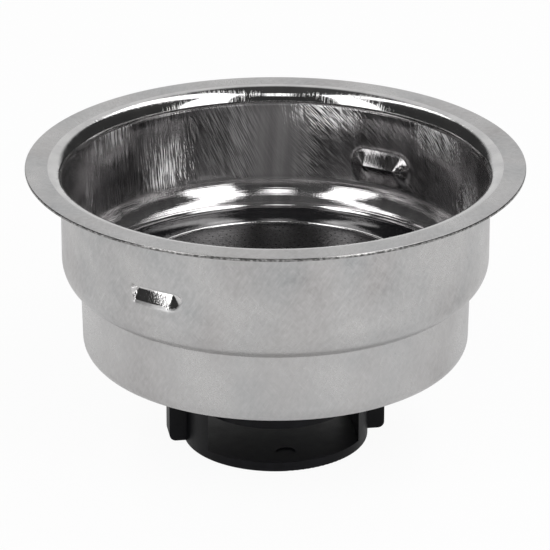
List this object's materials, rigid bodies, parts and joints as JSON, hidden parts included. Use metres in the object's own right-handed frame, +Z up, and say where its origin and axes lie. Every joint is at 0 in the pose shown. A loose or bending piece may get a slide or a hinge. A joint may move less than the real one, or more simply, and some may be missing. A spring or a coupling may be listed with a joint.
{
  "type": "espresso filter basket",
  "caption": "Stepped round steel cup with a wide flat rim and pressed side dents, a perforated disc on a black carrier inside and a black jet cap below; holds ground coffee in a filter holder.",
  "frame": {"origin": "centre of the underside of the jet cap's plate, on the axis of the cup", "axes": "+Z up along the cup's axis from the jet cap to the rim; the front of the picture is -Y"},
  "size_m": [0.06, 0.06, 0.0356],
  "materials": {
    "shell_steel": "satin outside with fine rubbed scratches, brighter and brushed inside",
    "carrier_plastic": "smooth, glossy",
    "disc_steel": "satin",
    "seal_silicone": "matt",
    "cap_plastic": "semi-matt moulded"
  },
  "bodies": {
    "root": {"basket_shell": "shell_steel", "disc_carrier": "carrier_plastic", "filter_disc": "disc_steel", "seal_ring": "seal_silicone", "jet_cap": "cap_plastic"}
  },
  "joints": []
}
